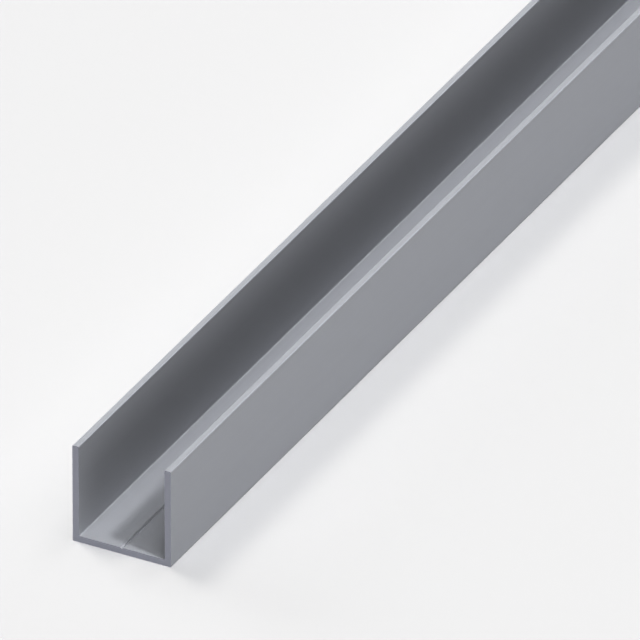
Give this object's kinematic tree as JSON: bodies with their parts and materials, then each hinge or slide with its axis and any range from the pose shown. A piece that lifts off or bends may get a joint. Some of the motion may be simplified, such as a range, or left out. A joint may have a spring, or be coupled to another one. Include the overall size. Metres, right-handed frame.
{
  "type": "wall rail profile",
  "caption": "Extruded aluminium U channel with a square section and a centring groove along the channel's floor, cut square at both ends.",
  "frame": {"origin": "middle of the web's outer face, half way along the length, on the surface the rail lies on", "axes": "+Y along the length, away from the end that the picture shows; +Z out of the channel's open side; +X across the channel"},
  "size_m": [0.0234, 1, 0.0235],
  "materials": {
    "anodised_aluminium": "satin"
  },
  "bodies": {
    "root": {"wall_rail": "anodised_aluminium"}
  },
  "joints": []
}
